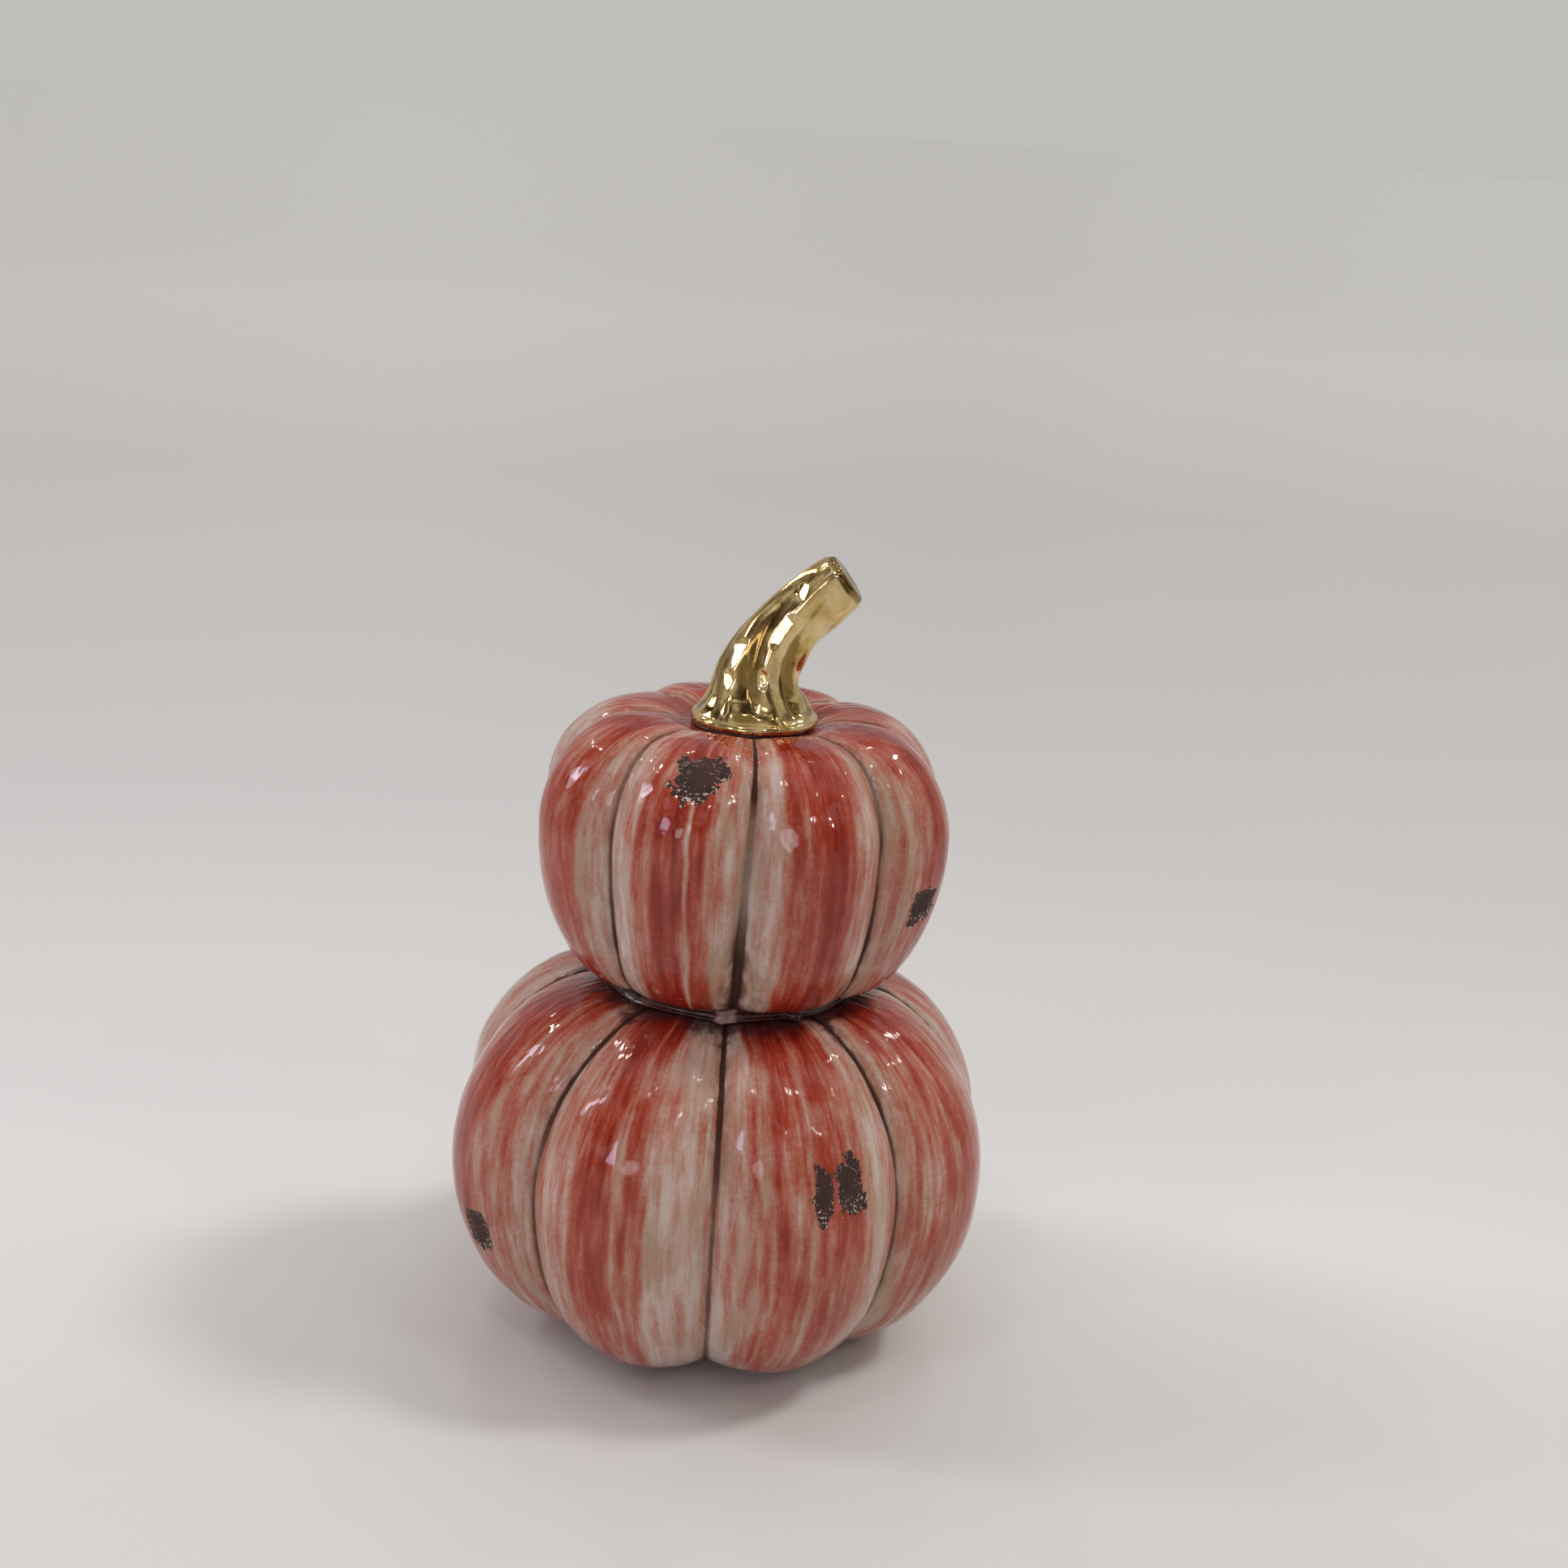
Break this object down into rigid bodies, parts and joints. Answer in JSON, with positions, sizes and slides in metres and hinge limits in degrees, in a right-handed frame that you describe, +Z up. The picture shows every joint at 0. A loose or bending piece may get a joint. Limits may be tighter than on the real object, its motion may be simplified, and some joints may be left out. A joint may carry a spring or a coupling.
{
  "type": "stacked pumpkin figure",
  "caption": "Glazed ceramic autumn figure: a small lobed pumpkin standing on a larger one, streaked red over cream, with a leaning fluted gold stem.",
  "frame": {"origin": "on the surface that the figure stands on, under the vertical axis of the lower pumpkin", "axes": "+Z up along the axis of the lower pumpkin, -Y to the front, +X to the side that the stem leans to"},
  "size_m": [0.1218, 0.1218, 0.1827],
  "materials": {
    "lower_glaze": "glossy clear glaze over brushed red and cream stain",
    "upper_glaze": "glossy clear glaze over brushed red and cream stain",
    "dark_slip": "dark brown pooled glaze",
    "gold_lustre": "mirror gold lustre fired over glaze",
    "adhesive": "dull hardened adhesive",
    "felt": "pressed grey felt"
  },
  "bodies": {
    "root": {"lower_pumpkin": "lower_glaze", "upper_pumpkin": "upper_glaze", "joint_slip": "dark_slip", "stem": "gold_lustre", "stem_adhesive": "adhesive", "pad_front": "felt", "pad_right": "felt", "pad_back": "felt", "pad_left": "felt"}
  },
  "joints": []
}
